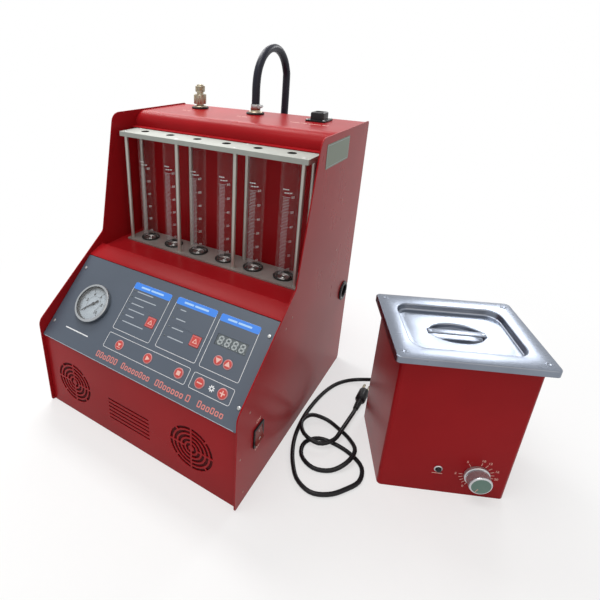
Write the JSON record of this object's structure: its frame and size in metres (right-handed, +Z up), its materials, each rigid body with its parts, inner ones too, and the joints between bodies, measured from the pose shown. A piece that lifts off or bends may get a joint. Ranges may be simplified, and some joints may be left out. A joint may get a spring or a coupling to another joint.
{
  "type": "fuel injector cleaner and tester",
  "caption": "Red sheet-metal bench tester with glass measuring tubes, a sloping control panel and gauge, and a small ultrasonic bath with a steel lid and loose lead.",
  "frame": {"origin": "middle of the cabinet's footprint on the bench, on the underside of its base panel", "axes": "+Z up, the cabinet's front faces -Y, +X is the cabinet's right as seen from the front, where the bath stands"},
  "size_m": [0.7347, 0.511, 0.6172],
  "materials": {
    "red_paint": "glossy red powder coat",
    "slate_plate": "matt slate blue-grey print on sheet",
    "aluminium": "clear anodised, satin",
    "grey_steel": "dull",
    "bright_steel": "polished stainless",
    "glass": "clear",
    "black_rubber": "satin black",
    "black_plastic": "moulded, fine grain",
    "brass": "nickel worn to brass",
    "white_dial": "matt printed",
    "key_red": "satin",
    "display_smoke": "smoked window",
    "board_green": "solder mask"
  },
  "bodies": {
    "cabinet": {"side_panel_left": "red_paint", "side_panel_right": "red_paint", "front_panel": "red_paint", "tube_shelf": "red_paint", "top_cover": "red_paint", "rear_panel": "red_paint", "base_panel": "red_paint", "control_plate": "slate_plate", "display": "display_smoke", "control_board": "board_green", "gauge_case": "bright_steel", "gauge_dial": "white_dial", "gauge_lens": "glass", "top_rail": "aluminium", "bottom_rail": "grey_steel", "outlet_coupler": "brass", "return_fitting": "brass", "hose_clamp": "bright_steel", "return_hose": "black_rubber", "hose_coupler": "brass", "signal_socket": "black_plastic", "switch_frame": "black_plastic", "side_socket": "black_plastic", "liquid_tank": "bright_steel", "fuel_pump": "aluminium", "power_supply": "grey_steel", "measuring_tube_1": "glass", "measuring_tube_2": "glass", "measuring_tube_3": "glass", "measuring_tube_4": "glass", "measuring_tube_5": "glass", "measuring_tube_6": "glass", "front_rod_1": "aluminium", "front_rod_2": "aluminium", "front_rod_3": "aluminium", "front_rod_4": "aluminium", "rear_rod_1": "aluminium", "rear_rod_2": "aluminium", "rear_rod_3": "aluminium", "rear_rod_4": "aluminium"},
    "needle": {"gauge_needle": "black_plastic"},
    "key_drain": {"key_drain": "key_red"},
    "key_start": {"key_start": "key_red"},
    "key_stop": {"key_stop": "key_red"},
    "key_pressure_down": {"key_pressure_down": "key_red"},
    "key_pressure_up": {"key_pressure_up": "key_red"},
    "key_value_down": {"key_value_down": "key_red"},
    "key_value_up": {"key_value_up": "key_red"},
    "key_program": {"key_program": "key_red"},
    "key_parameter": {"key_parameter": "key_red"},
    "rocker": {"switch_rocker": "key_red"},
    "sleeve": {"outlet_sleeve": "bright_steel"},
    "bath": {"bath_housing": "red_paint", "bath_tank": "bright_steel", "bath_transducer": "aluminium", "cord_gland": "black_plastic", "bath_cord": "black_rubber", "bath_plug": "black_rubber"},
    "lid": {"bath_lid": "bright_steel"},
    "timer_knob": {"bath_timer_knob": "bright_steel"}
  },
  "joints": [
    {"name": "needle_turn", "type": "hinge", "parent": "cabinet", "child": "needle", "pos_m": [-0.128, -0.14895, 0.20086], "axis": [0, 0.6704, -0.742], "range_deg": [0, 270], "stiffness_Nm_per_rad": 0.002, "springref_deg": -11.46},
    {"name": "key_drain_press", "type": "slide", "parent": "cabinet", "child": "key_drain", "axis": [0, 0.6704, -0.742], "range_m": [0, 0.0005], "stiffness_N_per_m": 200, "springref_m": -0.0005},
    {"name": "key_start_press", "type": "slide", "parent": "cabinet", "child": "key_start", "axis": [0, 0.6704, -0.742], "range_m": [0, 0.0005], "stiffness_N_per_m": 200, "springref_m": -0.0005},
    {"name": "key_stop_press", "type": "slide", "parent": "cabinet", "child": "key_stop", "axis": [0, 0.6704, -0.742], "range_m": [0, 0.0005], "stiffness_N_per_m": 200, "springref_m": -0.0005},
    {"name": "key_pressure_down_press", "type": "slide", "parent": "cabinet", "child": "key_pressure_down", "axis": [0, 0.6704, -0.742], "range_m": [0, 0.0005], "stiffness_N_per_m": 200, "springref_m": -0.0005},
    {"name": "key_pressure_up_press", "type": "slide", "parent": "cabinet", "child": "key_pressure_up", "axis": [0, 0.6704, -0.742], "range_m": [0, 0.0005], "stiffness_N_per_m": 200, "springref_m": -0.0005},
    {"name": "key_value_down_press", "type": "slide", "parent": "cabinet", "child": "key_value_down", "axis": [0, 0.6704, -0.742], "range_m": [0, 0.0005], "stiffness_N_per_m": 200, "springref_m": -0.0005},
    {"name": "key_value_up_press", "type": "slide", "parent": "cabinet", "child": "key_value_up", "axis": [0, 0.6704, -0.742], "range_m": [0, 0.0005], "stiffness_N_per_m": 200, "springref_m": -0.0005},
    {"name": "key_program_press", "type": "slide", "parent": "cabinet", "child": "key_program", "axis": [0, 0.6704, -0.742], "range_m": [0, 0.0005], "stiffness_N_per_m": 200, "springref_m": -0.0005},
    {"name": "key_parameter_press", "type": "slide", "parent": "cabinet", "child": "key_parameter", "axis": [0, 0.6704, -0.742], "range_m": [0, 0.0005], "stiffness_N_per_m": 200, "springref_m": -0.0005},
    {"name": "rocker_tilt", "type": "hinge", "parent": "cabinet", "child": "rocker", "pos_m": [0.1988, -0.149, 0.0965], "axis": [0, 1, 0], "range_deg": [0, 16]},
    {"name": "sleeve_pull", "type": "slide", "parent": "cabinet", "child": "sleeve", "axis": [0, 0, -1], "range_m": [0, 0.004], "stiffness_N_per_m": 300, "springref_m": -0.003},
    {"name": "bath_lift", "type": "slide", "parent": "cabinet", "child": "bath", "axis": [0, 0, 1], "range_m": [0, 0.3]},
    {"name": "lid_lift", "type": "slide", "parent": "bath", "child": "lid", "axis": [0, 0, 1], "range_m": [0, 0.15]},
    {"name": "timer_turn", "type": "hinge", "parent": "bath", "child": "timer_knob", "pos_m": [0.47988, 0.0066, 0.042], "axis": [-0.4226, 0.9063, 0], "range_deg": [0, 300]}
  ]
}
